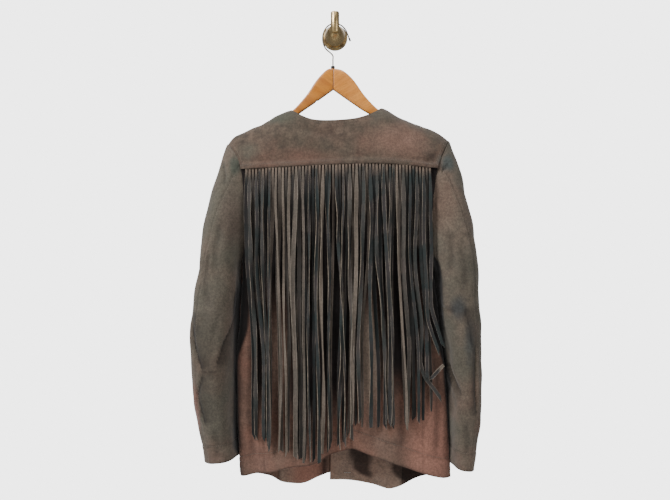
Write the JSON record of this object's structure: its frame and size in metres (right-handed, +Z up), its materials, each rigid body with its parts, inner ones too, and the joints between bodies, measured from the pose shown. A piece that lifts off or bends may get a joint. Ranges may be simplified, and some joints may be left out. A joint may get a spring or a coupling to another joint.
{
  "type": "fringed suede jacket on a wooden hanger and a brass wall hook",
  "caption": "Collarless suede jacket with a long fringe across its back, hung back outwards on a wooden hanger from a brass wall hook.",
  "frame": {"origin": "centre of the hook plate's back face, on the wall", "axes": "+Z up, +Y into the wall, +X to the right of somebody who looks at the jacket's back"},
  "size_m": [0.5681, 0.1107, 0.9611],
  "materials": {
    "hook_plate": "aged, brushed",
    "hook_arm": "aged, brushed",
    "hanger_left": "varnished",
    "hanger_right": "varnished",
    "hanger_collar": "dull black",
    "hanger_wire": "drawn wire",
    "wire_tip": "dull black",
    "back_yoke": "suede, blotchy taupe",
    "back_left": "suede, reddish brown",
    "back_right": "suede, reddish brown",
    "side_back_left": "suede, reddish brown",
    "side_back_right": "suede, reddish brown",
    "front_left": "suede, reddish brown",
    "front_right": "suede, reddish brown",
    "facing_left": "suede, orange brown",
    "facing_right": "suede, orange brown",
    "upper_sleeve_left": "suede, olive grey",
    "upper_sleeve_right": "suede, olive grey",
    "under_sleeve_left": "suede, olive grey",
    "under_sleeve_right": "suede, olive grey",
    "fringe": "suede, dark charcoal"
  },
  "bodies": {
    "root": {"hook_plate": "hook_plate", "hook_arm": "hook_arm", "hanger_left": "hanger_left", "hanger_right": "hanger_right", "hanger_collar": "hanger_collar", "hanger_wire": "hanger_wire", "wire_tip": "wire_tip", "back_yoke": "back_yoke", "back_left": "back_left", "back_right": "back_right", "side_back_left": "side_back_left", "side_back_right": "side_back_right", "front_left": "front_left", "front_right": "front_right", "facing_left": "facing_left", "facing_right": "facing_right", "upper_sleeve_left": "upper_sleeve_left", "upper_sleeve_right": "upper_sleeve_right", "under_sleeve_left": "under_sleeve_left", "under_sleeve_right": "under_sleeve_right", "fringe": "fringe"}
  },
  "joints": []
}
